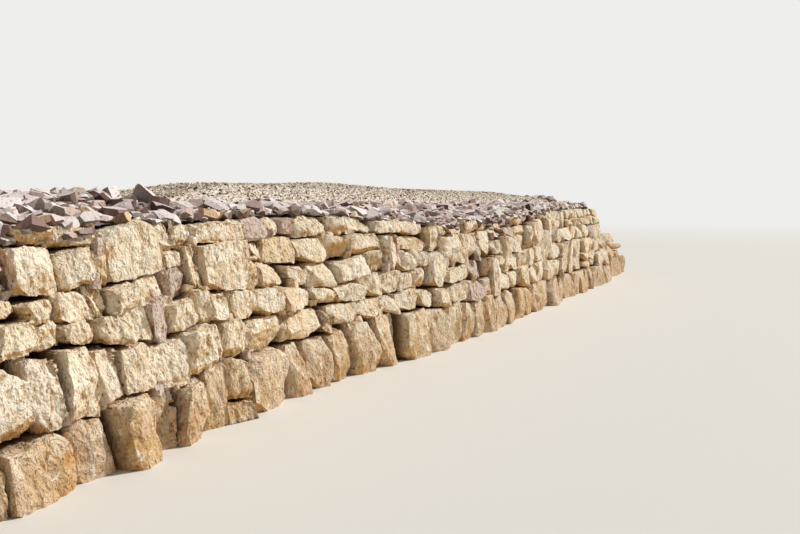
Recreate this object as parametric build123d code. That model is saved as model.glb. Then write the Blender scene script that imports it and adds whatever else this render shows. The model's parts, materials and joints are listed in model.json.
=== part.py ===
from build123d import *
import os
from bisect import bisect_right
from random import Random

# A battered dry stone wall with two faces, laid in six rough courses without mortar.
# Big foundation blocks carry smaller courses, each set back a little from the one below.
# Between the faces lies a rubble hearting, and on top a band of coarse rubble behind
# each face with a crown of gravel between them. The far end is racked back to a low tail.
# Millimetres, +Z up, X along the wall, the front face towards -Y.
# The origin is on the ground at the middle of the whole plan.

# Driving dimensions of the wall at full height
wall_length = 16000.0
base_width = 3000.0
face_thickness = 580.0
course_setback = 56.0

# Low tail beyond the far end, one length for each of its courses
tail_lengths = (2500.0, 1900.0, 1200.0)
tail_width = 900.0

# Rubble and gravel on top of the hearting
shoulder_depth = 80.0
shoulder_width = 300.0
shoulder_overhang = 130.0
shoulder_height = 1580.0
shoulder_rise = 40.0
near_cap_length = 2000.0
near_cap_height = 1630.0
far_cap_length = 700.0
far_cap_height = 1680.0
crown_height = 1800.0
peak_height = 1850.0
peak_place = 6300.0
peak_length = 3000.0
near_ramp_length = 1400.0
far_ramp_length = 2800.0

# Stones of a course: the open joint between two of them and how far they stand back
joint_width = 26.0
joint_depth = 80.0
stone_relief = 50.0
stone_length_range = (300.0, 620.0)
shortest_stone_length = 180.0

# Places along the wall, from its near end, where the bed joints change height
level_end = 600.0
bed_stations = (
    0.0, level_end, 1500.0, 2400.0, 4100.0, 5400.0, 6500.0, 8300.0, 11000.0,
    wall_length - level_end, wall_length,
)

# How far both faces swell outwards, or are sunk inwards, at those places
face_swell = (0.0, 0.0, 0.0, 0.0, -60.0, 100.0, 220.0, 210.0, 160.0, 150.0, 150.0)

# Height of each course's upper bed at those places
bed_heights = (
    (350.0, 350.0, 410.0, 470.0, 480.0, 510.0, 460.0, 430.0, 410.0, 400.0, 400.0),
    (770.0, 770.0, 715.0, 770.0, 680.0, 720.0, 680.0, 690.0, 700.0, 690.0, 690.0),
    (945.0, 945.0, 940.0, 1000.0, 870.0, 930.0, 890.0, 920.0, 950.0, 930.0, 930.0),
    (1090.0, 1090.0, 1110.0, 1190.0, 1070.0, 1140.0, 1080.0, 1150.0, 1190.0, 1180.0, 1180.0),
    (1370.0, 1370.0, 1330.0, 1310.0, 1330.0, 1300.0, 1220.0, 1260.0, 1330.0, 1350.0, 1350.0),
    (1480.0, 1480.0, 1480.0, 1490.0, 1530.0, 1430.0, 1370.0, 1400.0, 1470.0, 1510.0, 1510.0),
)

# Lengths of the stones nearest the near end, course by course; the rest are drawn by lot
near_stones = (
    (300, 530, 330, 360, 260, 370, 240, 290, 640, 320, 410, 370, 460, 450, 560, 450, 500, 340, 400),
    (530, 230, 290, 190, 330, 330, 340, 130, 360, 590, 620, 160, 450, 400, 310, 440, 350, 360),
    (310, 280, 220, 280, 230, 230, 200, 300, 160, 260, 390, 400, 530, 430, 410, 340, 360, 320, 330),
    (510, 240, 280, 110, 310, 310, 210, 120, 90, 520, 240, 470, 340, 470, 570, 300, 310, 300, 290),
    (380, 390, 270, 150, 510, 220, 160, 590, 170, 300, 470, 480, 350, 490, 480, 580, 600),
    (420, 300, 340, 360, 400, 220, 690, 400, 190, 350, 500, 310, 440, 570, 460, 380, 380),
)

course_count = len(bed_heights)
total_length = wall_length + tail_lengths[0]
near_x = -total_length / 2
half_base = base_width / 2
core_half_width = half_base - face_thickness
crown_half_width = core_half_width - shoulder_width
core_height = min(bed_heights[-1]) - shoulder_depth


def along(stations, values, place):
    """Value at a place along the wall, in a straight line between its stations."""
    right = min(max(bisect_right(stations, place), 1), len(stations) - 1)
    left = right - 1
    share = (place - stations[left]) / (stations[right] - stations[left])
    return values[left] + share * (values[right] - values[left])


def swell_at(place):
    """How far each face swells outwards at a place along the wall."""
    return along(bed_stations, face_swell, place)


def bed_at(course, place):
    """Height of the bed under a course; the bed over the last one is the wall's top."""
    return 0.0 if course == 0 else along(bed_stations, bed_heights[course - 1], place)


def setback(course):
    """How far a course stands back from the base course, at the faces and the ends."""
    return course * course_setback


def stone_ends(run, chosen, lot):
    """Places of the joints along a run, from the chosen lengths and then by lot."""
    ends = [0.0]
    lengths = list(chosen)
    while ends[-1] < run:
        length = lengths.pop(0) if lengths else lot.uniform(*stone_length_range)
        ends.append(ends[-1] + length)
    ends[-1] = run
    if len(ends) > 2 and run - ends[-2] < shortest_stone_length:
        del ends[-2]
    return ends


def stone_line(run, chosen, lot):
    """Outline of a row of stones as (place along it, distance back) with open joints."""
    ends = stone_ends(run, chosen, lot)
    line = []
    for first, last in zip(ends, ends[1:]):
        back = lot.uniform(0.0, stone_relief)
        turn = lot.uniform(-0.3, 0.3) * stone_relief
        left = max(back - turn, 0.0)
        right = max(back + turn, 0.0)
        line.append((first + (joint_width / 2 if first > 0 else 0.0), left))
        line.append((last - (joint_width / 2 if last < run else 0.0), right))
        if last < run:
            line.append((last, joint_depth))
    return line


def plan_prism(outline, low, high):
    """A prism with this outline in plan, between two heights."""
    face = make_face(Polyline(*outline, close=True))
    return extrude(Plane.XY.offset(low) * face, high - low)


def side_prism(outline, half_depth):
    """A prism with this outline seen from the front, through the whole wall."""
    face = make_face(Polyline(*outline, close=True))
    return extrude(Plane.XZ.offset(-half_depth) * face, 2 * half_depth)


def inner_line(first, last):
    """The back of a face's stones between two places: (x, distance from the middle)."""
    places = [first, *(s for s in bed_stations if first < s < last), last]
    return [(near_x + s, core_half_width + swell_at(s)) for s in places]


def front_course(course):
    """One course of the front face, whole length, with its joints and uneven beds."""
    first, last = setback(course), wall_length - setback(course)
    lot = Random(course + 1)
    row = stone_line(last - first, near_stones[course], lot)
    face_y = half_base - setback(course)
    outer = [(near_x + first + a, -(face_y + swell_at(first + a) - back)) for a, back in row]
    inner = [(x, -y) for x, y in reversed(inner_line(first, last))]
    stones = plan_prism([*outer, *inner], 0.0, peak_height)
    places = [first, *(s for s in bed_stations if first < s < last), last]
    below = [(near_x + s, bed_at(course, s)) for s in places]
    above = [(near_x + s, bed_at(course + 1, s)) for s in reversed(places)]
    return stones & side_prism([*below, *above], base_width)


def end_course(course, far):
    """One course of an end face, between the stones of the front and the back."""
    lot = Random(course + (41 if far else 21))
    edge = setback(course)
    outside = wall_length - edge if far else edge
    inside = wall_length - face_thickness if far else face_thickness
    half = core_half_width + swell_at(outside)
    half_inside = core_half_width + swell_at(inside)
    turn = -1.0 if far else 1.0
    row = stone_line(2 * half, (), lot)
    outer = [(near_x + outside + turn * back, a - half) for a, back in row]
    inner = [(near_x + inside, half_inside), (near_x + inside, -half_inside)]
    return plan_prism([*outer, *inner], bed_at(course, outside), bed_at(course + 1, outside))


def tail_course(course):
    """One course of the low tail, which the racked far end steps down to."""
    lot = Random(course + 61)
    start = wall_length - setback(course)
    end = wall_length + tail_lengths[course]
    near_row = stone_line(end - start, (), lot)
    far_row = stone_line(end - start, (), lot)
    front = -(half_base - setback(course))
    rear = -(half_base - tail_width + setback(course))
    outer = [(near_x + start + a, front + back) for a, back in near_row]
    inner = [(near_x + start + a, rear - back) for a, back in reversed(far_row)]
    return plan_prism(
        [*outer, *inner], bed_at(course, wall_length), bed_at(course + 1, wall_length)
    )


def hearting():
    """The packed rubble between the faces, up to the underside of the crown."""
    side = inner_line(face_thickness, wall_length - face_thickness)
    outline = [(x, -y) for x, y in side] + [(x, y) for x, y in reversed(side)]
    return plan_prism(outline, 0.0, core_height)


def rubble_shoulder():
    """Coarse rubble behind the front face and a little over its top course."""
    first, last = face_thickness, wall_length - face_thickness
    places = [first, *(s for s in bed_stations if first < s < last), last]
    cuts = []
    for s in places:
        outer = core_half_width + swell_at(s)
        top_bed = bed_at(course_count, s)
        outline = [
            (near_x + s, -outer, core_height),
            (near_x + s, -crown_half_width, core_height),
            (near_x + s, -crown_half_width, shoulder_height),
            (near_x + s, -outer, top_bed + shoulder_rise),
            (near_x + s, -outer - shoulder_overhang, top_bed),
            (near_x + s, -outer, top_bed),
        ]
        cuts.append(make_face(Polyline(*outline, close=True)))
    return loft(cuts, ruled=True)


def gravel_crown():
    """The gravel heaped between the two rubble shoulders, ramped down at both ends."""
    first = near_x + face_thickness + near_cap_length
    last = near_x + wall_length - face_thickness - far_cap_length
    peak = near_x + peak_place
    left, right = -crown_half_width, crown_half_width
    outline = Curve() + [
        Line((first, left, core_height), (first, right, core_height)),
        Line((first, right, core_height), (first, right, shoulder_height)),
        ThreePointArc(
            (first, right, shoulder_height), (first, 0.0, peak_height), (first, left, shoulder_height)
        ),
        Line((first, left, shoulder_height), (first, left, core_height)),
    ]
    heap = extrude(make_face(outline), last - first, dir=(1, 0, 0))
    profile = [
        (first, core_height),
        (last, core_height),
        (last, far_cap_height),
        (last - far_ramp_length, crown_height),
        (peak + peak_length / 2, crown_height),
        (peak, peak_height),
        (peak - peak_length / 2, crown_height),
        (first + near_ramp_length, crown_height),
        (first, near_cap_height),
    ]
    return heap & side_prism(profile, crown_half_width)


def rubble_cap(end, length, height):
    """Coarse rubble over the hearting at an end of the wall, sloping down to its face."""
    inwards = 1.0 if end < wall_length / 2 else -1.0
    outer = end + inwards * face_thickness
    inner = outer + inwards * length
    outline = [
        (near_x + outer, core_height),
        (near_x + inner, core_height),
        (near_x + inner, height),
        (near_x + (outer + inner) / 2, height),
        (near_x + outer, bed_at(course_count, outer)),
    ]
    return side_prism(outline, crown_half_width)


parts = {}
for course in range(course_count):
    number = course + 1
    parts[f"front_course_{number}"] = front_course(course)
    parts[f"back_course_{number}"] = mirror(parts[f"front_course_{number}"], about=Plane.XZ)
    parts[f"near_end_course_{number}"] = end_course(course, far=False)
    parts[f"far_end_course_{number}"] = end_course(course, far=True)
for course in range(len(tail_lengths)):
    parts[f"tail_course_{course + 1}"] = tail_course(course)
parts["rubble_hearting"] = hearting()
parts["front_rubble_shoulder"] = rubble_shoulder()
parts["back_rubble_shoulder"] = mirror(parts["front_rubble_shoulder"], about=Plane.XZ)
parts["near_rubble_cap"] = rubble_cap(0.0, near_cap_length, near_cap_height)
parts["far_rubble_cap"] = rubble_cap(wall_length, far_cap_length, far_cap_height)
parts["gravel_crown"] = gravel_crown()

os.makedirs("parts", exist_ok=True)
for name, shape in parts.items():
    shape.label = name
    export_step(shape, f"parts/{name}.step")
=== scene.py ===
import json
import logging
import math
from bisect import bisect_right
from collections.abc import Iterator
from contextlib import contextmanager
from dataclasses import dataclass, field, replace
from enum import Enum
from functools import cached_property
from itertools import accumulate
from random import Random

import bpy
import numpy as np
from bpy.types import Material, NodeSocket, Object, World
from mathutils import Euler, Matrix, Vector

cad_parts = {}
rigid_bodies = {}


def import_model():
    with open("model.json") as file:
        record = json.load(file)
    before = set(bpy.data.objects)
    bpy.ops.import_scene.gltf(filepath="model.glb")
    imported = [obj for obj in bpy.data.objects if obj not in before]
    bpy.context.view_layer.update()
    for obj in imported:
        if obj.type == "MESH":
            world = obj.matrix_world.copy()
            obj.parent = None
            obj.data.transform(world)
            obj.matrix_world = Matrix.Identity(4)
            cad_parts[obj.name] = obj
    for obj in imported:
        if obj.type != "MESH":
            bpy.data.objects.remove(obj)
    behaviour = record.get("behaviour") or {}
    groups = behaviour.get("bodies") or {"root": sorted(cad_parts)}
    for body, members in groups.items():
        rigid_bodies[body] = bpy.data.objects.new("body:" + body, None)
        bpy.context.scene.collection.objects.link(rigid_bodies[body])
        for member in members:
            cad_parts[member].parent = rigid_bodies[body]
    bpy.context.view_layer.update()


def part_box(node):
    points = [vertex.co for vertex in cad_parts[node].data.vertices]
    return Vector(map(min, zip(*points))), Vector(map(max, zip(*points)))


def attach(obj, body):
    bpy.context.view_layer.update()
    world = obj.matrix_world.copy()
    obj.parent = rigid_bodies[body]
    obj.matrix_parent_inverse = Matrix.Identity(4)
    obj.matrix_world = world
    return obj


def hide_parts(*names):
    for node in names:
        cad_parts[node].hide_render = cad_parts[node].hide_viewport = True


log = logging.getLogger("dry_stone_wall")
Colour = tuple[float, float, float]
Triple = tuple[float, float, float]
Span = tuple[float, float]
Bounds = tuple[float, float, float, float]


class Detail(Enum):
    """How a face stone is modelled: its grid's depth, the share it fills, and how boldly it is hewn."""

    FINE = (6, 0.60, 1.0)
    MEDIUM = (5, 0.62, 1.45)
    COARSE = (4, 0.60, 1.45)


class Pattern(Enum):
    """A relief pattern, as its kind of noise and what the noise is made of."""

    SOFT = ("SOFT_NOISE", "BLENDER_ORIGINAL")
    CREASED = ("HARD_NOISE", "IMPROVED_PERLIN")
    CHIPPED = ("SOFT_NOISE", "VORONOI_F1")


class Face(Enum):
    """A face of the wall, as the turn about the vertical that brings it to the front."""

    FRONT = 0
    NEAR_END = -90
    BACK = 180
    FAR_END = 90

    @property
    def rotation(self) -> np.ndarray:
        """Matrix that turns rows of (along, inwards, up) points into the wall's frame."""
        angle = math.radians(self.value)
        cosine, sine = math.cos(angle), math.sin(angle)
        return np.array([[cosine, sine, 0.0], [-sine, cosine, 0.0], [0.0, 0.0, 1.0]])


def srgb(red: int, green: int, blue: int) -> Colour:
    """Linear colour of a colour written as the eye sees it, 0 to 255."""
    return tuple(
        c / 12.92 if c <= 0.04045 else ((c + 0.055) / 1.055) ** 2.4
        for c in (red / 255, green / 255, blue / 255)
    )


def mesh_points(mesh: bpy.types.Mesh) -> np.ndarray:
    """The mesh's vertices as rows of coordinates."""
    points = np.empty(len(mesh.vertices) * 3)
    mesh.vertices.foreach_get("co", points)
    return points.reshape(-1, 3)


def select_only(thing: Object) -> None:
    """Deselect everything, then select this object and make it the active one."""
    bpy.ops.object.select_all(action="DESELECT")
    thing.select_set(True)
    bpy.context.view_layer.objects.active = thing


def add_object(name: str, data: bpy.types.ID | None) -> Object:
    """Put a new object with this data, or an empty one, into the scene."""
    thing = bpy.data.objects.new(name, data)
    bpy.context.scene.collection.objects.link(thing)
    return thing


@contextmanager
def editing() -> Iterator[None]:
    """Hold the active object in edit mode, with all of it selected to start with."""
    bpy.ops.object.mode_set(mode="EDIT")
    bpy.ops.mesh.select_all(action="SELECT")
    yield
    bpy.ops.object.mode_set(mode="OBJECT")


def cut_away(place: Vector | Triple, out: Vector | Triple) -> None:
    """Cut off what lies out beyond a place on the edited mesh, and close the cut."""
    bpy.ops.mesh.select_all(action="SELECT")
    bpy.ops.mesh.bisect(plane_co=place, plane_no=out, use_fill=True, clear_outer=True)


class NodeSheet:
    """A node tree, with a short method for each kind of node used here."""

    # the Mix node's sockets for a share and two colours, and for the mixed colour
    MIX_INPUTS = (0, 6, 7)
    MIXED = 2

    def __init__(self, owner: Material | World) -> None:
        """Open the node tree of a material or a world.

        Args:
            owner: what the tree belongs to.
        """
        owner.use_nodes = True
        self.owner = owner
        self.nodes = owner.node_tree.nodes
        self.links = owner.node_tree.links

    @classmethod
    def of_material(cls, name: str) -> "NodeSheet":
        """The sheet of a new material with this name."""
        return cls(bpy.data.materials.new(name))

    @cached_property
    def place(self) -> NodeSocket:
        """The place on the object, in metres."""
        return self.node("TexCoord", "Object")

    def node(self, kind: str, output: str | int, inputs: dict[str | int, object] | None = None,
             **settings: str) -> NodeSocket:
        """Add a node and fill in its inputs.

        Args:
            kind: the node's type, without the ShaderNode in front.
            output: the name or number of the output that is wanted.
            inputs: a socket to link, or a plain value, for each input's name or number.
            settings: the node's own settings.

        Returns:
            The socket of the output.
        """
        node = self.nodes.new(f"ShaderNode{kind}")
        for name, value in settings.items():
            setattr(node, name, value)
        for name, value in (inputs or {}).items():
            if isinstance(value, NodeSocket):
                self.links.new(value, node.inputs[name])
            else:
                node.inputs[name].default_value = value
        return node.outputs[output]

    def slanted(self, tone: NodeSocket, stretch: float, slants: Span) -> NodeSocket:
        """The place on the object, drawn out upwards along a slant.

        Args:
            tone: a number from 0 to 1 that tells the stones apart.
            stretch: how many times longer than wide a pattern becomes.
            slants: the slant of the stones whose tone is 0 and 1, in radians from upright.

        Returns:
            The socket that carries the place.
        """
        slant = self.node("MapRange", "Result", {"Value": tone, "To Min": slants[0], "To Max": slants[1]})
        turn = self.node("CombineXYZ", "Vector", {"Y": slant})
        return self.node("Mapping", "Vector", {
            "Vector": self.place, "Rotation": turn, "Scale": (1.0, 1.0, stretch),
        }, vector_type="TEXTURE")

    def noise(self, scale: float, detail: float = 3.0, rough: float = 0.55,
              place: NodeSocket | None = None, warp: float = 0.0) -> NodeSocket:
        """A cloudy pattern: clouds to a metre, finer layers and their strength, where, and its bend."""
        return self.node("TexNoise", "Fac", {
            "Vector": place or self.place, "Scale": scale, "Detail": detail, "Roughness": rough,
            "Distortion": warp,
        })

    def cells(self, scale: float, place: NodeSocket | None = None) -> NodeSocket:
        """Distance from the nearest of many scattered points, about 0 to 1."""
        return self.node("TexVoronoi", "Distance", {"Vector": place or self.place, "Scale": scale})

    def height(self) -> NodeSocket:
        """How high the place on the object is, in metres."""
        return self.node("SeparateXYZ", "Z", {"Vector": self.place})

    def uprightness(self) -> NodeSocket:
        """How far the surface faces up: 1 for a level top, 0 for a wall, -1 for an underside."""
        return self.node("SeparateXYZ", "Z", {"Vector": self.node("NewGeometry", "Normal")})

    def attribute(self, name: str) -> NodeSocket:
        """A number stored with the mesh."""
        return self.node("Attribute", "Fac", attribute_name=name)

    def ramp(self, source: NodeSocket, stops: list[tuple[float, Colour]]) -> NodeSocket:
        """Colours picked along a pattern.

        Args:
            source: the pattern, from 0 to 1.
            stops: pairs of a place along it and the colour there.

        Returns:
            The socket that carries the colour.
        """
        colour = self.node("ValToRGB", "Color", {"Fac": source})
        marks = colour.node.color_ramp.elements
        while len(marks) < len(stops):
            marks.new(0.5)
        for mark, (position, value) in zip(marks, stops):
            mark.position = position
            mark.color = (*value, 1.0)
        return colour

    def threshold(self, source: NodeSocket, low: float, high: float) -> NodeSocket:
        """A pattern sharpened so that it runs from 0 at low to 1 at high."""
        return self.node("MapRange", "Result", {"Value": source, "From Min": low, "From Max": high},
                         interpolation_type="SMOOTHSTEP")

    def mix(self, share: NodeSocket | float, first: NodeSocket | Colour, second: NodeSocket | Colour,
            how: str = "MIX") -> NodeSocket:
        """The second colour over the first in this share, mixed in this way."""
        colours = ((*value, 1.0) if isinstance(value, tuple) else value for value in (first, second))
        return self.node("Mix", self.MIXED, dict(zip(self.MIX_INPUTS, (share, *colours))),
                         data_type="RGBA", blend_type=how)

    def math(self, how: str, *values: NodeSocket | float) -> NodeSocket:
        """The outcome of a sum."""
        return self.node("Math", "Value", dict(enumerate(values)), operation=how)

    def product(self, first: NodeSocket, second: NodeSocket) -> NodeSocket:
        """One pattern times another."""
        return self.math("MULTIPLY", first, second)

    def sum(self, first: NodeSocket, second: NodeSocket, weight: float = 1.0) -> NodeSocket:
        """The first pattern plus the second one times its weight."""
        return self.math("MULTIPLY_ADD", second, weight, first)

    def ray(self, kind: str) -> NodeSocket:
        """Whether the ray that meets the surface is of this kind."""
        return self.node("LightPath", f"Is {kind} Ray")

    def surface(self, output: str, share: NodeSocket, first: NodeSocket, second: NodeSocket) -> None:
        """Mix two shaders into the output node with this name."""
        mixed = self.node("MixShader", "Shader", {0: share, 1: first, 2: second})
        self.links.new(mixed, self.nodes[output].inputs["Surface"])

    def bump(self, height: NodeSocket, depth: float, strength: float = 1.0) -> None:
        """Let a height pattern, this many metres deep, roughen the surface."""
        normal = self.node("Bump", "Normal", {"Height": height, "Distance": depth, "Strength": strength})
        self.links.new(normal, self.nodes["Principled BSDF"].inputs["Normal"])

    def paint(self, colour: NodeSocket | Colour, roughness: float, shine: float = 0.25) -> Material:
        """Finish the surface and return the material.

        Args:
            colour: its colour, as a socket or as a value.
            roughness: how matt it is, from 0 to 1.
            shine: how strongly it mirrors, where 0.5 is common.

        Returns:
            The finished material.
        """
        shader = self.nodes["Principled BSDF"]
        if isinstance(colour, NodeSocket):
            self.links.new(colour, shader.inputs["Base Color"])
        else:
            shader.inputs["Base Color"].default_value = (*colour, 1.0)
        shader.inputs["Roughness"].default_value = roughness
        shader.inputs["Specular IOR Level"].default_value = shine
        return self.owner


@dataclass(frozen=True)
class LimestoneFinish:
    """Porous cream limestone with ochre pits; painted highlights where its relief stands out, and painted
    shade in its hollows, between the stones and on its undersides.
    """

    name: str = "limestone"
    chalk_and_painted_highlight: Colour = srgb(253, 241, 219)
    cream: Colour = srgb(245, 222, 183)
    straw: Colour = srgb(226, 194, 150)
    honey: Colour = srgb(236, 196, 130)
    ochre: Colour = srgb(218, 178, 122)
    rust: Colour = srgb(230, 172, 92)
    dust: Colour = srgb(228, 209, 190)
    painted_hollow_shade: Colour = srgb(214, 195, 168)
    painted_underside_shade: Colour = srgb(218, 175, 114)
    lilac: Colour = srgb(190, 166, 164)
    rose: Colour = srgb(220, 152, 138)
    furrow: Colour = srgb(196, 170, 140)
    speck: Colour = srgb(164, 136, 102)
    pit: Colour = srgb(132, 104, 74)
    painted_joint_shade: Colour = srgb(118, 90, 62)
    lower_brown: Colour = srgb(190, 148, 104)
    stretch: float = 1.9
    slants: Span = (-0.70, 0.20)
    depth: float = 0.052
    kinds_share: float = 0.42
    rust_from: Span = (0.57, 0.72)
    dust_from: Span = (0.54, 0.74)
    pale_from: Span = (0.14, 0.62)
    lower_brown_share: float = 0.50
    chalk_share: float = 0.45
    painted_underside_from: Span = (-0.05, -0.60)
    lilac_from: Span = (0.955, 0.960)
    lilac_fade: float = 0.4
    rose_from: Span = (0.006, 0.004)
    rose_fade: float = 0.3
    painted_hollow_shade_from: Span = (0.79, 0.58)
    painted_highlight_from: Span = (0.87, 1.07)
    furrow_from: Span = (0.46, 0.33)
    ribbed_from: Span = (0.44, 0.60)
    speck_from: Span = (0.42, 0.32)
    rough_from: Span = (0.34, 0.56)
    pit_from: Span = (0.18, 0.06)
    pit_rise: Span = (0.05, 0.24)
    porous_from: Span = (0.48, 0.62)
    painted_joint_shade_from: Span = (0.26, 0.75)

    def material(self) -> Material:
        """Build the material."""
        sheet = NodeSheet.of_material(self.name)
        tone = sheet.attribute("stone_tone")
        streaks = sheet.slanted(tone, self.stretch, self.slants)
        crust = sheet.noise(13.0, 4.0, 0.60, warp=0.5)
        grit = sheet.noise(52.0, 2.0, 0.6)
        runnels = sheet.noise(20.0, 3.0, 0.55, streaks)
        holes = sheet.cells(26.0, streaks)
        specks = sheet.noise(46.0, 3.0, 0.6, sheet.slanted(tone, 1.5, self.slants))
        height = sheet.sum(sheet.sum(crust, grit, 0.28), runnels, 0.34)

        patches = sheet.noise(4.0, 5.0, 0.62, warp=0.5)
        colour = sheet.ramp(patches, [
            (0.37, self.ochre), (0.44, self.straw), (0.50, self.cream), (0.57, self.chalk_and_painted_highlight),
        ])
        kinds = sheet.ramp(tone, [
            (0.0, self.honey), (0.14, self.honey), (0.20, self.straw), (0.45, self.cream),
            (0.70, self.chalk_and_painted_highlight), (0.86, self.dust), (0.94, self.cream),
        ])
        colour = sheet.mix(self.kinds_share, colour, kinds)
        stains = sheet.noise(2.1, 4.0, 0.6, warp=0.6)
        colour = sheet.mix(sheet.threshold(stains, *self.rust_from), colour, self.rust)
        weathered = sheet.noise(2.8, 5.0, 0.65)
        colour = sheet.mix(sheet.threshold(weathered, *self.dust_from), colour, self.dust)
        # darker and browner towards the foot of the wall, paler towards its top
        rise = sheet.threshold(sheet.height(), *self.pale_from)
        browner_below = sheet.mix(self.lower_brown_share, colour, self.lower_brown)
        colour = sheet.mix(rise, browner_below, sheet.mix(self.chalk_share, colour, self.chalk_and_painted_highlight))
        # painted shade: surfaces that face down get a warm ochre, standing in for the shade and bounced light
        # under each stone
        colour = sheet.mix(sheet.threshold(sheet.uprightness(), *self.painted_underside_from), colour, self.painted_underside_shade)
        for bounds, own, fade in ((self.lilac_from, self.lilac, self.lilac_fade),
                                  (self.rose_from, self.rose, self.rose_fade)):
            colour = sheet.mix(sheet.threshold(tone, *bounds), colour, sheet.mix(fade, own, colour))

        # painted shade: the low parts of the relief pattern are darkened as if in shadow
        colour = sheet.mix(sheet.threshold(height, *self.painted_hollow_shade_from), colour, self.painted_hollow_shade, "MULTIPLY")
        # painted highlight: the high parts of the relief pattern are whitened as if catching the light, in
        # the chalk colour that is also the stone's own palest tone
        colour = sheet.mix(sheet.threshold(height, *self.painted_highlight_from), colour, self.chalk_and_painted_highlight)
        furrows = sheet.threshold(sheet.noise(30.0, 3.0, 0.6, streaks), *self.furrow_from)
        ribbed = sheet.threshold(sheet.noise(2.4, 2.0, 0.5), *self.ribbed_from)
        colour = sheet.mix(sheet.product(furrows, ribbed), colour, self.furrow, "MULTIPLY")
        rough = sheet.threshold(sheet.noise(5.0, 3.0, 0.6), *self.rough_from)
        specked = sheet.threshold(specks, *self.speck_from)
        colour = sheet.mix(sheet.product(specked, rough), colour, self.speck, "MULTIPLY")
        porous = sheet.threshold(sheet.noise(7.0, 3.0, 0.6), *self.porous_from)
        pits = sheet.threshold(holes, *self.pit_from)
        colour = sheet.mix(sheet.product(pits, porous), colour, self.pit)
        # painted shade: the parts of the stones that lie deep in the wall, in the joints between them, are
        # darkened as if in shadow
        joints = sheet.threshold(sheet.attribute("stone_depth"), *self.painted_joint_shade_from)
        colour = sheet.mix(joints, colour, self.painted_joint_shade)
        height = sheet.sum(height, sheet.threshold(holes, *self.pit_rise), 0.14)
        sheet.bump(height, self.depth)
        return sheet.paint(colour, 0.95)


@dataclass(frozen=True)
class RubbleFinish:
    """Broken plum and pinkish-grey stone, whitened on its tops as dust and painted light, and darkened on its
    sides and undersides as painted shade.
    """

    name: str = "plum_rubble"
    umber_and_painted_shade: Colour = srgb(74, 54, 49)
    plum: Colour = srgb(124, 94, 88)
    mauve: Colour = srgb(182, 152, 146)
    blush: Colour = srgb(230, 202, 194)
    dust: Colour = srgb(250, 239, 233)
    sand: Colour = srgb(234, 198, 156)
    dusty_from: Span = (0.54, 0.80)
    sandy_from: Span = (0.52, 0.66)
    sandy_share: float = 0.5
    dust_and_painted_light_tops_from: Span = (0.25, 0.75)
    dust_and_painted_light_tops_share: float = 0.88
    painted_shade_sides_from: Span = (0.30, 0.0)
    painted_shade_sides_share: float = 0.74
    grit_from: Span = (0.46, 0.30)

    def material(self) -> Material:
        """Build the material."""
        sheet = NodeSheet.of_material(self.name)
        tone = sheet.attribute("stone_tone")
        colour = sheet.ramp(tone, [
            (0.0, self.umber_and_painted_shade), (0.14, self.plum), (0.30, self.mauve), (0.44, self.blush), (0.60, self.dust),
            (0.88, self.dust), (0.94, self.sand),
        ])
        mottle = sheet.noise(9.0, 6.0, 0.65, warp=0.5)
        colour = sheet.mix(sheet.threshold(mottle, *self.dusty_from), colour, self.dust)
        up = sheet.uprightness()
        for pattern, bounds, share, own in (
            (sheet.noise(3.5, 3.0, 0.6), self.sandy_from, self.sandy_share, self.sand),
            # upward faces whitened, partly as dust and partly as painted light
            (up, self.dust_and_painted_light_tops_from, self.dust_and_painted_light_tops_share, self.dust),
            # painted shade: side faces and undersides darkened towards umber as if in shadow
            (up, self.painted_shade_sides_from, self.painted_shade_sides_share, self.umber_and_painted_shade),
        ):
            colour = sheet.mix(sheet.threshold(pattern, *bounds), colour, sheet.mix(share, colour, own))
        grit = sheet.noise(50.0, 5.0, 0.65)
        colour = sheet.mix(sheet.threshold(grit, *self.grit_from), colour, self.mauve, "MULTIPLY")
        sheet.bump(grit, 0.014, 0.8)
        return sheet.paint(colour, 0.9)


@dataclass(frozen=True)
class GravelFinish:
    """Pale beige crushed stone with a few darker and purplish grains."""

    name: str = "beige_gravel"
    sand: Colour = srgb(242, 229, 213)
    pale: Colour = srgb(251, 245, 235)
    brown: Colour = srgb(186, 168, 152)
    plum: Colour = srgb(84, 72, 66)
    grit_from: Span = (0.58, 0.36)

    def material(self) -> Material:
        """Build the material."""
        sheet = NodeSheet.of_material(self.name)
        tone = sheet.attribute("stone_tone")
        colour = sheet.ramp(tone, [
            (0.0, self.plum), (0.08, self.plum), (0.12, self.brown), (0.18, self.sand), (0.50, self.sand),
            (0.66, self.pale),
        ])
        grit = sheet.noise(40.0, 4.0, 0.7)
        colour = sheet.mix(sheet.threshold(grit, *self.grit_from), colour, self.brown, "MULTIPLY")
        sheet.bump(grit, 0.006, 0.5)
        return sheet.paint(colour, 0.92)


@dataclass(frozen=True)
class PackingFinish:
    """Dark small rubble and grit, packed where it is hardly seen."""

    name: str
    dark: Colour
    light: Colour
    size: float
    gap_from: Span = (0.25, 0.75)
    light_from: Span = (0.4, 0.7)
    hollow: float = 0.6

    def material(self) -> Material:
        """Build the material."""
        sheet = NodeSheet.of_material(self.name)
        cells = sheet.cells(1.0 / self.size)
        colour = sheet.ramp(cells, list(zip(self.gap_from, (self.light, self.dark))))
        colour = sheet.mix(sheet.threshold(sheet.noise(9.0), *self.light_from), colour, self.light)
        sheet.bump(cells, -self.hollow * self.size, 0.9)
        return sheet.paint(colour, 0.95)


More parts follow.
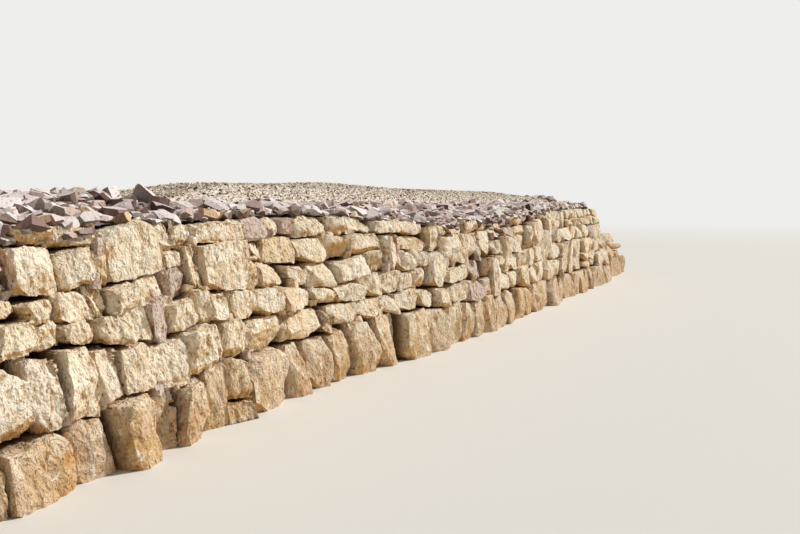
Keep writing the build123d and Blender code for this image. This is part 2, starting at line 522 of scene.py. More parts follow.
@dataclass(frozen=True)
class Shape:
    """A modelled stone, kept as arrays so that it can be copied many times."""

    points: np.ndarray
    corners: np.ndarray
    sides: np.ndarray

    @classmethod
    def taken_from(cls, thing: Object) -> "Shape":
        """Read an object's mesh into arrays, and remove the object.

        Args:
            thing: the modelled stone.

        Returns:
            The stone's shape, stretched to fill the unit cell about the origin.
        """
        mesh = thing.data
        corners = np.empty(len(mesh.loops), np.int32)
        mesh.loops.foreach_get("vertex_index", corners)
        sides = np.empty(len(mesh.polygons), np.int32)
        mesh.polygons.foreach_get("loop_total", sides)
        points = mesh_points(mesh)
        low, high = points.min(axis=0), points.max(axis=0)
        shape = cls((points - low) / (high - low) - 0.5, corners, sides)
        bpy.data.objects.remove(thing)
        bpy.data.meshes.remove(mesh)
        return shape


@dataclass
class Heap:
    """Copies of stones, gathered until they are joined into one mesh."""

    copies: list[tuple[Shape, np.ndarray, float, bool]] = field(default_factory=list)

    def add(self, shape: Shape, points: np.ndarray, tone: float, takes_painted_joint_shade: bool = False) -> None:
        """Lay one more copy of a stone.

        Args:
            shape: the modelled stone.
            points: where its vertices go in the wall's frame.
            tone: a number from 0 to 1 that picks the stone's colour.
            takes_painted_joint_shade: whether painted shade darkens the part of it that lies deep in the
                wall, between the stones.
        """
        self.copies.append((shape, points, tone, takes_painted_joint_shade))

    def join(self, name: str) -> Object:
        """Make one object of all the copies.

        Args:
            name: the object's name.

        Returns:
            The object, at the origin, with its stones in place.
        """
        shapes, points, tones, takes_painted_joint_shade = zip(*self.copies)
        counts = [len(part) for part in points]
        starts = [0, *accumulate(counts)]
        corners = np.concatenate([shape.corners + start for shape, start in zip(shapes, starts)])
        sides = np.concatenate([shape.sides for shape in shapes])
        # how deep each point lies in the wall, for the material's painted joint shade
        depths = [(shape.points[:, 1] + 0.5) * paints_joint_shade for shape, paints_joint_shade in zip(shapes, takes_painted_joint_shade)]
        mesh = bpy.data.meshes.new(name)
        mesh.vertices.add(starts[-1])
        mesh.vertices.foreach_set("co", np.concatenate(points).ravel())
        mesh.loops.add(len(corners))
        mesh.loops.foreach_set("vertex_index", corners)
        mesh.polygons.add(len(sides))
        mesh.polygons.foreach_set("loop_start", np.cumsum(sides) - sides)
        mesh.update(calc_edges=True)
        values = {"stone_tone": np.repeat(tones, counts), "stone_depth": np.concatenate(depths)}
        for attribute, numbers in values.items():
            mesh.attributes.new(attribute, "FLOAT", "POINT").data.foreach_set("value", numbers)
        mesh.shade_flat()
        return add_object(name, mesh)


@dataclass
class Mason:
    """Hews model stones out of cubes, by chopping pieces off and wearing the edges."""

    seed: int = 11
    squeeze: float = 0.45
    plain_from: float = -0.08
    back_at: float = 0.46
    wear: float = 0.4
    slopes: Span = (0.5, 1.6)
    edge_skew: float = 0.35
    side_bites: Span = (0.04, 0.16)
    bed_bites: Span = (0.03, 0.12)
    flank_skews: Span = (0.15, 0.4)
    flank_bites: Span = (0.01, 0.06)
    corner_slopes: Span = (0.3, 1.2)
    corner_rises: Span = (0.5, 1.5)
    corner_bites: Span = (0.05, 0.22)
    front_cuts: int = 4
    front_skew: float = 0.5
    front_bites: Span = (0.05, 0.18)
    shard_cuts: int = 11
    shard_bites: Span = (0.14, 0.42)
    shortest_way: float = 0.3
    grain_length: float = 0.6
    grain_wear: float = 0.20

    def __post_init__(self) -> None:
        """Start the draw that all models come from."""
        self.lot = Random(self.seed)

    def chop(self, out: Vector, bites: Span, bold: float = 1.0) -> None:
        """Cut a piece off the stone in edit mode.

        Args:
            out: the way out of the stone at the cut.
            bites: how deep the cut may go in from the unit cube's farthest point.
            bold: how many times deeper it goes.
        """
        normal = out.normalized()
        reach = sum(abs(part) for part in normal) / 2 - bold * self.lot.uniform(*bites)
        cut_away(normal * reach, normal)

    def jitter(self, amount: float) -> float:
        """A small number either side of nought."""
        return self.lot.uniform(-amount, amount)

    def start(self) -> Object:
        """Add a unit cube to hew."""
        bpy.ops.object.select_all(action="DESELECT")
        bpy.ops.mesh.primitive_cube_add(size=1.0)
        return bpy.context.object

    def block(self, detail: Detail) -> Shape:
        """A hewn face stone: a block with its front edges and corners knocked off.

        Args:
            detail: how closely its front is divided for the relief to come.

        Returns:
            The stone in a unit cell, with its front towards -Y.
        """
        stone = self.start()
        with editing():
            self.hew(detail.value[2])
            bpy.ops.mesh.select_all(action="SELECT")
            bpy.ops.transform.resize(value=(1.0, self.squeeze, 1.0))
        self.divide(stone, detail)
        self.draw_out_back()
        return Shape.taken_from(stone)

    def hew(self, bold: float) -> None:
        """Chop the edges, flanks, corners and front of the stone.

        Args:
            bold: how many times deeper than usual the cuts go.
        """
        for side in (-1.0, 1.0):
            out = Vector((side, -self.lot.uniform(*self.slopes), self.jitter(self.edge_skew)))
            self.chop(out, self.side_bites, bold)
            out = Vector((self.jitter(self.edge_skew), -self.lot.uniform(*self.slopes), side))
            self.chop(out, self.bed_bites, bold)
            self.chop(Vector((side, *map(self.jitter, self.flank_skews))), self.flank_bites, bold)
            for rise in (-1.0, 1.0):
                slope = -self.lot.uniform(*self.corner_slopes)
                out = Vector((side, slope, rise * self.lot.uniform(*self.corner_rises)))
                self.chop(out, self.corner_bites, bold)
        for _ in range(self.front_cuts):
            out = Vector((self.jitter(self.front_skew), -1.0, self.jitter(self.front_skew)))
            self.chop(out, self.front_bites, bold)

    def divide(self, stone: Object, detail: Detail) -> None:
        """Give the stone an even mesh and wear its edges a little.

        Args:
            stone: the hewn stone.
            detail: how closely its surface is divided.
        """
        remesh = stone.modifiers.new("even_mesh", "REMESH")
        remesh.mode = "SHARP"
        remesh.octree_depth, remesh.scale, _ = detail.value
        bpy.ops.object.modifier_apply(modifier=remesh.name)
        worn = stone.modifiers.new("worn", "SMOOTH")
        worn.factor = self.wear
        worn.iterations = 2 if detail is Detail.FINE else 1
        bpy.ops.object.modifier_apply(modifier=worn.name)

    def draw_out_back(self) -> None:
        """Trade the squeezed stone's back for one plain face, drawn out to full depth."""
        with editing():
            bpy.ops.transform.resize(value=(1.0, 1.0 / self.squeeze, 1.0))
            cut_away((0.0, self.plain_from, 0.0), (0.0, 1.0, 0.0))
            bpy.ops.transform.translate(value=(0.0, self.back_at - self.plain_from, 0.0))

    def shard(self) -> Shape:
        """A sharp broken stone with flat faces, for the rubble."""
        stone = self.start()
        with editing():
            for _ in range(self.shard_cuts):
                out = Vector((self.jitter(1.0), self.jitter(1.0), self.jitter(1.0)))
                if out.length > self.shortest_way:
                    self.chop(out, self.shard_bites)
        return Shape.taken_from(stone)

    def grain(self) -> Shape:
        """A grain of crushed stone: a wedge with five sides, turned any way."""
        bpy.ops.object.select_all(action="DESELECT")
        bpy.ops.mesh.primitive_cylinder_add(vertices=3, radius=0.5, depth=self.grain_length)
        with editing():
            bpy.ops.transform.vertex_random(offset=self.grain_wear, seed=self.lot.randrange(1000))
            for axis in "XYZ":
                bpy.ops.transform.rotate(value=self.lot.uniform(0.0, math.pi), orient_axis=axis)
        return Shape.taken_from(bpy.context.object)


Laid = tuple[float, float, Span]


@dataclass
class Bedding:
    """The upper side of a laid course, which the next one is laid on.

    Each stone is noted by where it starts and ends along the face, and the height of its upper
    side at both ends.
    """

    stones: list[Laid] = field(default_factory=list)
    tall: list[Laid] = field(default_factory=list)
    rests: Span = (0.15, 0.85)
    between: tuple[float, ...] = (0.35, 0.5, 0.65)
    most_lift: float = 0.02

    def add(self, stone: Laid, tall: bool) -> None:
        """Note a laid stone, and whether it reaches up through the next course."""
        self.stones.append(stone)
        if tall:
            self.tall.append(stone)

    def take_up(self, below: "Bedding") -> None:
        """Count the tall stones of the course below among this course's own."""
        self.stones = sorted(self.stones + below.tall)

    def free_parts(self, left: float, right: float) -> list[Span]:
        """The parts of a span that no tall stone of the course below stands in."""
        parts = []
        for start, end, _ in self.tall:
            if start < right and end > left:
                parts.append((left, start))
                left = end
        return [*parts, (left, right)]

    def height(self, place: float) -> float:
        """Height of the stone that lies under a place along the face."""
        start, end, tops = self.stones[max(bisect_right(self.stones, (place, math.inf)) - 1, 0)]
        share = min(max((place - start) / (end - start), 0.0), 1.0)
        return (1 - share) * tops[0] + share * tops[1]

    def seats(self, left: float, right: float, sink: float) -> Span:
        """Heights that a stone lies at.

        Args:
            left: where the stone starts along the face.
            right: where it ends.
            sink: how far it settles between the stones below.

        Returns:
            The height of its underside at the left and at the right.
        """
        def top(share: float) -> float:
            """Height below this share of the stone's length."""
            return self.height(left + share * (right - left))

        first, last = self.rests
        low, high = top(first), top(last)
        lifts = [top(share) - low - (high - low) * (share - first) / (last - first)
                 for share in self.between]
        lift = min(max(*lifts, 0.0), self.most_lift) - sink
        return low + lift, high + lift


@dataclass(frozen=True)
class CourseLine:
    """One course of a face as the frame holds it: its outline, its top, its joints and its backs."""

    places: np.ndarray
    front: np.ndarray
    high: np.ndarray
    joints: np.ndarray
    backs: Span

    @classmethod
    def read(cls, node: str, face: Face, deepest: float = 0.35, notch: float = 0.008,
             end_length: float = 0.30) -> "CourseLine":
        """Read a course from its solid.

        Args:
            node: the solid's name.
            face: the face that the course is read on.
            deepest: how far in from the foremost point the outline may go.
            notch: how far in it steps, at least, where two stones meet.
            end_length: how long a part of each end shows how thick the course is there.

        Returns:
            The course in the face's own frame: along, inwards and up.
        """
        points = mesh_points(bpy.data.objects[node].data) @ face.rotation.T
        along = np.round(points[:, 0], 4)
        places = np.unique(along)
        front = np.array([points[along == place, 1].min() for place in places])
        outer = front < front.min() + deepest
        places, front = places[outer], front[outer]
        high = np.array([points[along == place, 2].max() for place in places])
        inside = slice(1, -1)
        notched = (front[inside] > front[:-2] + notch) & (front[inside] > front[2:] + notch)
        joints = [places[0], *places[inside][notched], places[-1]]
        backs = tuple(points[end, 1].max() for end in
                      (along < places[0] + end_length, along > places[-1] - end_length))
        return cls(places, front, high, np.array(joints), backs)

    def at(self, values: np.ndarray, place: float) -> float:
        """One of the course's lines read at a place along it."""
        return float(np.interp(place, self.places, values))


@dataclass(frozen=True)
class Berth:
    """The room for one stone in a course.

    Its bounds are its left and right side, each at its foot and at its head. Its bottoms and tops
    are heights at the left and the right. Back is how far in a corner stone reaches.
    """

    line: CourseLine
    bounds: Bounds
    bottoms: Span
    tops: Span
    back: float | None


@dataclass(frozen=True)
class Chosen:
    """How one stone differs from those that chance picks."""

    tone: float | None = None
    proud: float = 0.0
    splay: float = 0.0
    tall: bool = False
    under: float | None = None


@dataclass
class StoneFace:
    """A face of the wall, laid course by course from single stones."""

    name: str
    face: Face
    nodes: list[str]
    slot: str
    seed: int
    blocks: dict[Detail, list[Shape]]
    material: Material
    viewpoint: Vector
    stone_depth: float = 0.30
    joint_gap: float = 0.012
    lip: float = 0.016
    leans: Span = (-0.045, 0.015)
    top_unevenness: float = 0.036
    sinks: Span = (-0.006, 0.020)
    pitch: float = 0.030
    pushes: Span = (-0.022, 0.045)
    turn: float = 0.030
    splays: Span = (0.0, 0.065)
    footing: float = 0.07
    batter: float = 0.022
    shortest: float = 0.045
    tall_length: float = 0.50
    tall_shares: tuple[float, ...] = (0.0, 0.22, 0.12, 0.34, 0.15, 0.0)
    stack_share: float = 0.08
    stack_from: float = 0.24
    pin_share: float = 0.45
    pin_sizes: Span = (0.05, 0.12)
    pin_pushes: Span = (-0.01, 0.03)
    pin_skews: Span = (-0.01, 0.01)
    pin_lift: float = 0.02
    pin_tones: Span = (0.0, 0.5)
    lilac_tone: float = 0.97
    tones: Span = (0.01, 0.99)
    splits: Span = (0.38, 0.55)
    middle_height: float = 0.8
    fine_reach: float = 7.0
    medium_reach: float = 14.0
    planned: int = 0
    # whether the deep parts of the stones get painted joint shade
    paints_joint_shade: bool = True
    quoins: bool = False
    folded_foot: bool = True
    chosen: dict[tuple[int, int], Chosen] = field(default_factory=dict)
    lot: Random = field(init=False)

    def detail_at(self, along: float, inwards: float) -> Detail:
        """How closely a stone is modelled, from how near it is to the viewpoint."""
        if self.face in (Face.BACK, Face.FAR_END):
            return Detail.COARSE
        middle = Vector(np.array([along, inwards, self.middle_height]) @ self.face.rotation)
        distance = (middle - self.viewpoint).length
        if distance < self.fine_reach and self.face is Face.FRONT:
            return Detail.FINE
        return Detail.MEDIUM if distance < self.medium_reach else Detail.COARSE

    def cell(self, berth: Berth) -> np.ndarray:
        """The eight corners of a stone, in the face's frame.

        Args:
            berth: the room that it fills.

        Returns:
            Corners indexed by side, depth and height, each as along, inwards, up.
        """
        line, bounds = berth.line, berth.bounds
        left, right = min(bounds[:2]), max(bounds[2:])
        push, turn = self.lot.uniform(*self.pushes), self.lot.uniform(-self.turn, self.turn)
        stands = (line.at(line.front, left + self.lip) + push + turn,
                  line.at(line.front, right - self.lip) + push - turn)
        tip = self.lot.uniform(-self.pitch, self.pitch)
        corners = np.empty((2, 2, 2, 3))
        for side, (stand, bottom, top) in enumerate(zip(stands, berth.bottoms, berth.tops)):
            foot, head = bounds[2 * side:2 * side + 2]
            deep = stand + self.stone_depth
            if berth.back is not None:
                deep = max(deep, berth.back + self.lip)
            corners[side, :, 0] = (foot, stand + tip, bottom), (foot, deep, bottom)
            corners[side, :, 1] = (head, stand + (self.batter - tip), top), (head, deep, top)
        return corners

    def fill_cell(self, shape: Shape, corners: np.ndarray) -> np.ndarray:
        """Stretch a model stone, either way up, so that its unit cell fills these corners.

        Args:
            shape: the model stone.
            corners: the eight corners, in the face's frame.

        Returns:
            The stone's vertices in the wall's frame.
        """
        turned = -1.0 if self.lot.random() < 0.5 else 1.0
        unit = shape.points * np.array([turned, 1.0, turned]) + 0.5
        weights = [(1 - unit[:, axis], unit[:, axis]) for axis in range(3)]
        laid = np.zeros_like(unit)
        for side, deep, rise in np.ndindex(2, 2, 2):
            share = weights[0][side] * weights[1][deep] * weights[2][rise]
            laid += share[:, None] * corners[side, deep, rise]
        return laid @ self.face.rotation

    def pin(self, heap: Heap, line: CourseLine, place: float, foot: float) -> None:
        """Wedge a small stone in where a joint meets the bed below.

        Args:
            heap: where the stone is gathered.
            line: the course's outline.
            place: where the joint is along the face.
            foot: the height of the bed.
        """
        half, rise = (self.lot.uniform(*self.pin_sizes) / 2 for _ in range(2))
        front = line.at(line.front, place - self.lip) + self.lot.uniform(*self.pin_pushes)
        corners = np.empty((2, 2, 2, 3))
        for side, deep, high in np.ndindex(2, 2, 2):
            corners[side, deep, high] = (
                place + (2 * side - 1) * half, front + deep * self.stone_depth / 2,
                foot + self.pin_lift + (2 * high - 1) * rise + self.lot.uniform(*self.pin_skews))
        shape = self.lot.choice(self.blocks[Detail.COARSE])
        tone = self.lot.choice((self.lot.uniform(*self.pin_tones), self.lot.random(), self.lilac_tone))
        # a pin's deep parts get painted joint shade too
        heap.add(shape, self.fill_cell(shape, corners), tone, True)

    def is_tall(self, level: int, index: int, length: float) -> bool:
        """Whether a stone reaches up through the next course."""
        if index < self.planned:
            return self.chosen.get((level, index), Chosen()).tall
        return length < self.tall_length and self.lot.random() < self.tall_shares[level]

    def lay_stone(self, heap: Heap, berth: Berth, chosen: Chosen) -> None:
        """Lay one stone of a course.

        Args:
            heap: where the stone is gathered.
            berth: the room that it fills.
            chosen: how it differs from the others.
        """
        corners = self.cell(berth)
        corners[:, 0, :, 1] -= chosen.proud
        corners[:, 0, 0, 1] -= chosen.splay
        middle = sum(berth.bounds) / 4
        detail = self.detail_at(middle, berth.line.at(berth.line.front, middle))
        shape = self.lot.choice(self.blocks[detail])
        tone = self.lot.uniform(*self.tones)
        # the deep parts get painted joint shade, except on corner stones whose backs are in view
        heap.add(shape, self.fill_cell(shape, corners), tone if chosen.tone is None else chosen.tone,
                 self.paints_joint_shade and berth.back is None)

    def lay_course(self, level: int, line: CourseLine, above: CourseLine | None,
                   below: Bedding | None) -> tuple[Heap, Bedding]:
        """Lay the stones of one course.

        Args:
            level: the course's number, from 0 at the foot.
            line: the course's outline and joints.
            above: the next course, which a tall stone may reach through.
            below: the laid course that it rests on, if it isn't the first.

        Returns:
            The stones, and their upper sides for the next course.
        """
        lot = self.lot = Random(self.seed * 100 + level)
        heap, bedding = Heap(), Bedding()
        leans = [0.0, *(lot.uniform(*self.leans) for _ in line.joints[1:-1]), 0.0]
        places = [
            (index, left, right)
            for index, ends in enumerate(zip(line.joints, line.joints[1:]))
            for left, right in (below.free_parts(*ends) if below else [ends])
            if right - left > self.shortest
        ]
        for index, left, right in places:
            splay = 0.0 if level else lot.uniform(*self.splays)
            chosen = self.chosen.get((level, index), Chosen(splay=splay))
            tall = above is not None and self.is_tall(level, index, right - left)
            upper = above if tall else line
            tops = tuple(upper.at(upper.high, place) + lot.uniform(-1.0, 1.0) * self.top_unevenness
                         for place in (left, right))
            bottoms = (-self.footing, -self.footing)
            if below:
                bottoms = below.seats(left, right, lot.uniform(*self.sinks))
            gap = self.joint_gap / 2
            bounds = (left + gap - leans[index], left + gap + leans[index],
                      right - gap - leans[index + 1], right - gap + leans[index + 1])
            back = {0: line.backs[0], len(line.joints) - 2: line.backs[1]}.get(index) if self.quoins else None
            berth = Berth(line, bounds, bottoms, tops, back)
            stacked = index >= self.planned and level and lot.random() < self.stack_share
            if chosen.under is not None or (stacked and tops[0] - bottoms[0] > self.stack_from):
                share = lot.uniform(*self.splits)
                bed = tuple(low + share * (high - low) for low, high in zip(bottoms, tops))
                self.lay_stone(heap, replace(berth, tops=bed), Chosen(chosen.under))
                berth = replace(berth, bottoms=bed)
            self.lay_stone(heap, berth, chosen)
            if below and lot.random() < self.pin_share:
                self.pin(heap, line, left, bottoms[0])
            bedding.add((left, right, tops), tall)
        if below:
            bedding.take_up(below)
        return heap, bedding

    def finish(self, level: int, heap: Heap) -> None:
        """Join the stones of a course, roughen them and dress them."""
        course = heap.join(f"{self.name}_stones_{level + 1}")
        relief = Relief.folded if self.folded_foot and level == 0 else Relief
        relief(f"{self.name}_{level}").carve(course)
        dress(course, self.material, [self.nodes[level]])

    def build(self) -> None:
        """Lay and finish every course of the face."""
        below = None
        lines = [CourseLine.read(node, self.face) for node in self.nodes]
        for level, (line, above) in enumerate(zip(lines, [*lines[1:], None])):
            heap, below = self.lay_course(level, line, above, below)
            self.finish(level, heap)


@dataclass(frozen=True)
class Relief:
    """The broken and weathered surface of the stones, carved in true size."""

    name: str
    lump_size: float = 0.30
    lump_depth: float = 0.050
    ridge_size: float = 0.13
    ridge_depth: float = 0.042
    tooth_size: float = 0.050
    tooth_depth: float = 0.020
    finer_layers: int = 2
    stretch: float = 1.9
    slant: float = -0.35
    crease_angle: float = math.radians(30)

    @classmethod
    def folded(cls, name: str) -> "Relief":
        """The relief of foundation stones, in bolder upright folds."""
        return cls(name, ridge_size=0.21, ridge_depth=0.072, stretch=2.6)

    def carve(self, course: Object) -> None:
        """Displace the stones' surface and smooth its shading.

        Args:
            course: the joined stones of a course.
        """
        select_only(course)
        guide = add_object("streak_guide", None)
        guide.scale = (1.0, 1.0, self.stretch)
        guide.rotation_euler = (0.0, self.slant, 0.0)
        bpy.context.view_layer.update()
        self.displace(course, Pattern.SOFT, self.lump_size, self.lump_depth)
        self.displace(course, Pattern.CREASED, self.ridge_size, self.ridge_depth, guide)
        self.displace(course, Pattern.CHIPPED, self.tooth_size, self.tooth_depth, guide)
        bpy.data.objects.remove(guide)
        self.level_foot(course)
        bpy.ops.object.shade_smooth_by_angle(angle=self.crease_angle)

    def level_foot(self, course: Object) -> None:
        """Cut off what would reach below the ground."""
        if mesh_points(course.data)[:, 2].min() < 0.0:
            with editing():
                cut_away((0.0, 0.0, 0.0), (0.0, 0.0, -1.0))

    def displace(self, course: Object, pattern: Pattern, size: float, depth: float,
                 guide: Object | None = None) -> None:
        """Move the surface in and out by a pattern.

        Args:
            course: the joined stones.
            pattern: the sort of pattern.
            size: how large its features are, in metres.
            depth: how far it moves the surface, in metres.
            guide: an empty whose scale stretches the pattern.
        """
        texture = bpy.data.textures.new(f"{self.name}_{pattern.name.lower()}", "CLOUDS")
        texture.noise_type, texture.noise_basis = pattern.value
        texture.noise_scale = size
        texture.noise_depth = self.finer_layers
        modifier = course.modifiers.new("relief", "DISPLACE")
        modifier.texture = texture
        modifier.strength = depth
        modifier.mid_level = 0.5
        modifier.texture_coords = "OBJECT" if guide else "LOCAL"
        modifier.texture_coords_object = guide
        bpy.ops.object.modifier_apply(modifier=modifier.name)


def dress(piece: Object, material: Material, nodes: list[str]) -> None:
    """Give a finished piece its material and its place in the frame.

    Args:
        piece: the finished piece, at the origin.
        material: its material.
        nodes: the solids that it stands for, if any.
    """
    piece.data.materials.clear()
    piece.data.materials.append(material)
    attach(piece, "root")
    if nodes:
        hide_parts(*nodes)
    log.info("%s: %d faces", piece.name, len(piece.data.polygons))


class Ground:
    """The upper surface of a thing, which loose stones lie on."""

    clearance: float = 1.0
    least_upward: float = 0.1

    def __init__(self, name: str) -> None:
        """Take the solid or the finished piece with this name."""
        self.thing = bpy.data.objects[name]
        self.above = max(corner[2] for corner in self.thing.bound_box) + self.clearance

    def height(self, along: float, across: float) -> float | None:
        """Height of the surface at a place, or None where there is none that faces up."""
        hit, point, normal, _ = self.thing.ray_cast(Vector((along, across, self.above)), Vector((0, 0, -1)))
        return point.z if hit and normal.z > self.least_upward else None


@dataclass
class LooseStone:
    """Loose stones strewn over a part of the wall's top."""

    name: str
    slot: str
    shapes: list[Shape]
    material: Material
    seed: int
    sizes: Span
    spacing: float
    sink: float
    widths: Span = (0.55, 0.95)
    flatness: Span = (0.30, 0.62)
    tilt: float = 0.48
    rarity: float = 1.6
    strays_along: Span = (-0.5, 0.5)
    strays_across: Span = (-0.4, 0.4)

    def strew(self, heap: Heap, centre: Vector, size: float, lot: Random) -> None:
        """Drop one stone.

        Args:
            heap: where the stone is gathered.
            centre: the place on the surface that it lies on.
            size: its longest side, in metres.
            lot: where chance numbers come from.
        """
        shape = lot.choice(self.shapes)
        sides = np.array([size, size * lot.uniform(*self.widths), size * lot.uniform(*self.flatness)])
        tilts = [lot.uniform(-self.tilt, self.tilt) for _ in range(2)]
        rotation = np.array(Euler((*tilts, lot.uniform(0.0, math.tau))).to_matrix())
        lifted = centre + Vector((0.0, 0.0, sides[2] * (0.5 - self.sink)))
        heap.add(shape, (shape.points * sides) @ rotation.T + np.array(lifted), lot.random())

    def build(self, ground: Ground, extent: tuple[Span, Span]) -> None:
        """Cover a surface with stones.

        Args:
            ground: what they lie on.
            extent: the ranges along and across the wall that are covered.
        """
        lot = Random(self.seed)
        heap = Heap()
        (first, last), (near, far) = extent
        least, range_up = self.sizes[0], self.sizes[1] - self.sizes[0]
        mean = (least + range_up / (1 + self.rarity)) * self.spacing
        along = first
        while along < last:
            across = near + lot.uniform(0.0, mean)
            while across < far:
                size = least + range_up * lot.random() ** self.rarity
                spot = (along + lot.uniform(*self.strays_along) * mean,
                        across + lot.uniform(*self.strays_across) * mean)
                height = ground.height(*spot)
                if height is not None:
                    self.strew(heap, Vector((*spot, height)), size, lot)
                across += mean
            along += mean
        dress(heap.join(self.name), self.material, [])


@dataclass
class Studio:
    """The pale floor, the soft lamps and the camera at the photograph's place."""

    camera_height: float = 1.62
    face_line: float = -1.5
    camera_stand_off: float = 3.67
    camera_before_end: float = 3.01
    view_turn: float = math.radians(23.96)
    view_drop: float = math.radians(4.07)
    lens: float = 40.5
    sensor: float = 36.0
    farthest: float = 3000.0
    floor_size: float = 1500.0
    floor_roughness: float = 0.9
    floor_shine: float = 0.5
    haze_reach: Span = (14.0, 70.0)
    floor_colour: Colour = srgb(230, 226, 218)
    sky_colour: Colour = srgb(238, 238, 236)
    fill_colour: Colour = srgb(240, 236, 230)
    fill_strength: float = 0.31
    key_strength: float = 3.3
    key_softness: float = math.radians(2.5)
    key_towards: Triple = (0.72, -0.64, 0.76)

    def viewpoint(self, near_end: float) -> Vector:
        """Where the camera stands, from where the wall starts along X."""
        stand = self.face_line - self.camera_stand_off
        return Vector((near_end - self.camera_before_end, stand, self.camera_height))

    def place_camera(self, spot: Vector) -> None:
        """Set up the camera at its spot, level with the photograph's view."""
        data = bpy.data.cameras.new("camera")
        data.lens = self.lens
        data.sensor_width = self.sensor
        data.clip_end = self.farthest
        camera = bpy.context.scene.camera = add_object("camera", data)
        camera.location = spot
        camera.rotation_euler = Euler((math.pi / 2 - self.view_drop, 0.0, self.view_turn - math.pi / 2))

    def light(self) -> None:
        """Set up the key lamp and the even light of the room around it."""
        data = bpy.data.lights.new("key", "SUN")
        data.energy = self.key_strength
        data.angle = self.key_softness
        lamp = add_object("key", data)
        lamp.rotation_euler = Vector(self.key_towards).to_track_quat("Z", "Y").to_euler()
        room = bpy.context.scene.world = bpy.data.worlds.new("room")
        sheet = NodeSheet(room)
        fill = sheet.nodes["Background"]
        fill.inputs["Color"].default_value = (*self.fill_colour, 1.0)
        fill.inputs["Strength"].default_value = self.fill_strength
        seen = sheet.node("Background", "Background", {"Color": (*self.sky_colour, 1.0)})
        straight = sheet.math("MAXIMUM", sheet.ray("Camera"), sheet.ray("Glossy"))
        sheet.surface("World Output", straight, fill.outputs["Background"], seen)

    def lay_floor(self) -> None:
        """Lay the plain floor that the wall stands on, which fades into the room far away."""
        bpy.ops.object.select_all(action="DESELECT")
        bpy.ops.mesh.primitive_plane_add(size=self.floor_size)
        floor = bpy.context.object
        floor.name = "floor"
        sheet = NodeSheet.of_material("floor")
        floor.data.materials.append(sheet.paint(self.floor_colour, self.floor_roughness, self.floor_shine))
        away = sheet.node("VectorMath", "Value", {0: sheet.place}, operation="LENGTH")
        haze = sheet.node("Emission", "Emission", {"Color": (*self.sky_colour, 1.0)})
        seen = sheet.product(sheet.threshold(away, *self.haze_reach), sheet.ray("Camera"))
        sheet.surface("Material Output", seen, sheet.nodes["Principled BSDF"].outputs["BSDF"], haze)


NEAR_STONES = {  # by course and place from the near end, as in the photograph
    (0, 0): Chosen(proud=0.05), (0, 1): Chosen(0.30, proud=0.07, splay=0.05),
    (0, 2): Chosen(0.80, proud=0.03, splay=0.05), (0, 3): Chosen(0.12, proud=0.07, splay=0.07),
    (0, 4): Chosen(0.85, proud=-0.05), (0, 5): Chosen(0.35, proud=0.03), (0, 6): Chosen(0.45),
    (0, 7): Chosen(0.30, proud=-0.02, under=0.2),
    (1, 0): Chosen(0.75, proud=0.04), (1, 1): Chosen(0.86), (1, 2): Chosen(0.50, proud=0.03),
    (1, 3): Chosen(0.80), (1, 4): Chosen(0.22, proud=0.03), (1, 5): Chosen(0.30),
    (1, 6): Chosen(0.55, proud=0.04), (1, 7): Chosen(0.10), (1, 8): Chosen(0.60),
    (1, 11): Chosen(0.98, under=0.1),
    (2, 1): Chosen(0.02, proud=0.02), (2, 2): Chosen(0.80), (2, 3): Chosen(0.45), (2, 4): Chosen(0.35),
    (2, 5): Chosen(0.50), (2, 6): Chosen(0.97), (2, 7): Chosen(0.70, proud=0.03), (2, 8): Chosen(0.05),
    (2, 9): Chosen(0.55, proud=0.02),
    (3, 0): Chosen(0.03, proud=-0.02), (3, 1): Chosen(0.50, proud=0.03), (3, 2): Chosen(0.60),
    (3, 3): Chosen(0.05), (3, 4): Chosen(0.65, proud=0.04), (3, 5): Chosen(0.04), (3, 6): Chosen(0.98),
    (3, 7): Chosen(0.08, tall=True), (3, 8): Chosen(0.45), (3, 9): Chosen(0.35, tall=True, proud=0.03),
    (3, 10): Chosen(0.85),
    (4, 0): Chosen(0.0, under=0.98), (4, 1): Chosen(0.70, proud=0.02), (4, 2): Chosen(0.90),
    (4, 3): Chosen(0.10), (4, 4): Chosen(0.60, tall=True, proud=0.03), (4, 5): Chosen(0.65),
    (4, 7): Chosen(0.10),
    (5, 1): Chosen(0.60), (5, 2): Chosen(0.90), (5, 4): Chosen(0.88), (5, 5): Chosen(0.55),
    (5, 6): Chosen(0.40, proud=0.04), (5, 7): Chosen(0.97), (5, 9): Chosen(0.965),
}


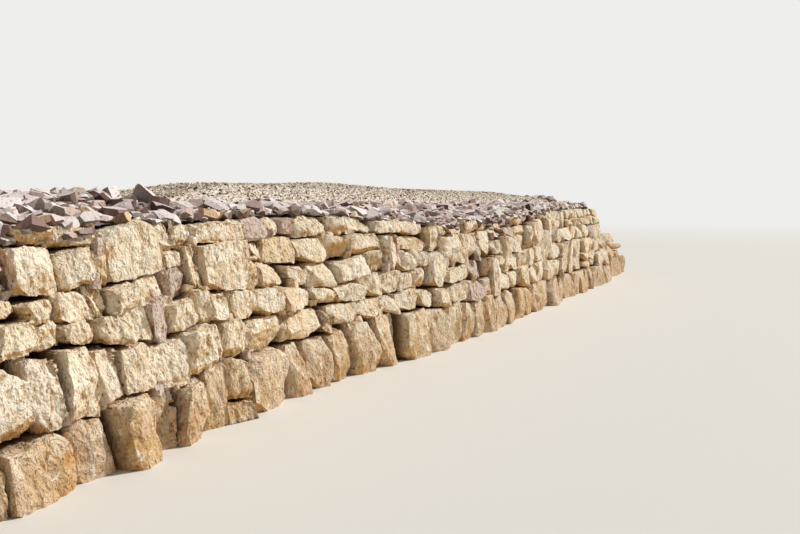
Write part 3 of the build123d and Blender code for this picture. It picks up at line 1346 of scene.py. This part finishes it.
@dataclass
class DryStoneWall:
    """The whole wall: its faces, its tail, the rubble and the gravel on top."""

    viewpoint: Vector
    courses: int = 6
    tail_courses: int = 3
    block_models: int = 16
    loose_models: int = 10
    planned: int = 16
    tail_stone_depth: float = 0.42
    tail_pale_from: Span = (0.3, 1.1)
    rubble_nodes: tuple[str, ...] = (
        "front_rubble_shoulder", "back_rubble_shoulder", "near_rubble_cap", "far_rubble_cap",
    )
    rubble_sizes: Span = (0.065, 0.20)
    rubble_margins: Span = (0.05, 0.04)
    spills: tuple[tuple[str, float, float, Span], ...] = (
        ("far", 6.0, 11.5, (0.06, 0.16)), ("near", 0.2, 1.9, (0.08, 0.20)),
    )
    spill_width: float = 0.45
    gravel_sizes: Span = (0.019, 0.041)

    def __post_init__(self) -> None:
        """Model the few stones that everything is laid from, and make the stones' finishes."""
        mason = Mason()
        self.blocks = {detail: [mason.block(detail) for _ in range(self.block_models)] for detail in Detail}
        self.shards = [mason.shard() for _ in range(self.loose_models)]
        self.grains = [mason.grain() for _ in range(self.loose_models)]
        self.limestone = LimestoneFinish().material()
        self.tail_limestone = LimestoneFinish("tail_limestone", pale_from=self.tail_pale_from).material()
        self.rubble = RubbleFinish().material()

    def build(self) -> None:
        """Build and dress every piece."""
        for name, face, slot, seed, traits in (
            ("front", Face.FRONT, "face_stone", 3,
             {"quoins": True, "planned": self.planned, "chosen": NEAR_STONES}),
            ("back", Face.BACK, "face_stone", 4, {"quoins": True}),
            ("near_end", Face.NEAR_END, "end_stone", 5, {}),
            ("far_end", Face.FAR_END, "end_stone", 6, {}),
        ):
            nodes = [f"{name}_course_{number + 1}" for number in range(self.courses)]
            StoneFace(name, face, nodes, slot, seed, self.blocks, self.limestone, self.viewpoint,
                      **traits).build()
        self.lay_tail()
        self.strew_top()
        self.dress_solids()

    def lay_tail(self) -> None:
        """Lay the low tail, each course in a row along either side."""
        nodes = [f"tail_course_{number + 1}" for number in range(self.tail_courses)]
        sides = [
            StoneFace("tail", face, nodes, "tail_stone", seed, self.blocks, self.tail_limestone,
                      self.viewpoint, stone_depth=self.tail_stone_depth, paints_joint_shade=False, folded_foot=False)
            for face, seed in ((Face.FRONT, 7), (Face.BACK, 8))
        ]
        below: list[Bedding | None] = [None, None]
        for level, node in enumerate(nodes):
            both = Heap()
            for number, side in enumerate(sides):
                line = CourseLine.read(node, side.face)
                heap, below[number] = side.lay_course(level, line, None, below[number])
                both.copies += heap.copies
            sides[0].finish(level, both)

    def strew_top(self) -> None:
        """Strew the rubble over the shoulders and caps, and the gravel over the crown."""
        end_margin, side_margin = self.rubble_margins
        for seed, name in enumerate(self.rubble_nodes, 31):
            low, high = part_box(name)
            extent = ((low.x + end_margin, high.x - end_margin), (low.y + side_margin, high.y))
            LooseStone(f"{name}_stones", "shoulder_rubble", self.shards, self.rubble, seed,
                       self.rubble_sizes, spacing=0.70, sink=0.24).build(Ground(name), extent)
        low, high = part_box("front_course_6")
        for seed, (name, first, last, sizes) in enumerate(self.spills, 36):
            extent = ((low.x + first, low.x + last), (low.y, low.y + self.spill_width))
            LooseStone(f"{name}_spill_stones", "shoulder_rubble", self.shards, self.rubble, seed,
                       sizes, spacing=0.72, sink=0.22).build(Ground("front_stones_6"), extent)
        low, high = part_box("gravel_crown")
        LooseStone("crown_gravel_grains", "crown_gravel", self.grains, GravelFinish().material(), 41,
                   self.gravel_sizes, spacing=1.0, sink=0.30).build(
            Ground("gravel_crown"), ((low.x, high.x), (low.y, high.y)))

    def dress_solids(self) -> None:
        """Give the solids that stay in view their packed or gravelly finish."""
        packed = PackingFinish("packed_rubble", srgb(70, 58, 54), srgb(140, 120, 112), 0.07).material()
        bed = PackingFinish("gravel_bed", srgb(216, 201, 184), srgb(246, 235, 220), 0.03).material()
        for name in ("rubble_hearting", *self.rubble_nodes, "gravel_crown"):
            materials = bpy.data.objects[name].data.materials
            materials.clear()
            materials.append(bed if name == "gravel_crown" else packed)


def main() -> None:
    """Build the wall and its studio, and note how large it is."""
    logging.basicConfig(level=logging.INFO, format="%(message)s")
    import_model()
    bpy.context.scene.view_settings.view_transform = "Standard"
    studio = Studio()
    spot = studio.viewpoint(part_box("front_course_1")[0].x)
    studio.place_camera(spot)
    studio.light()
    studio.lay_floor()
    DryStoneWall(spot).build()


if __name__ == "__main__":
    main()
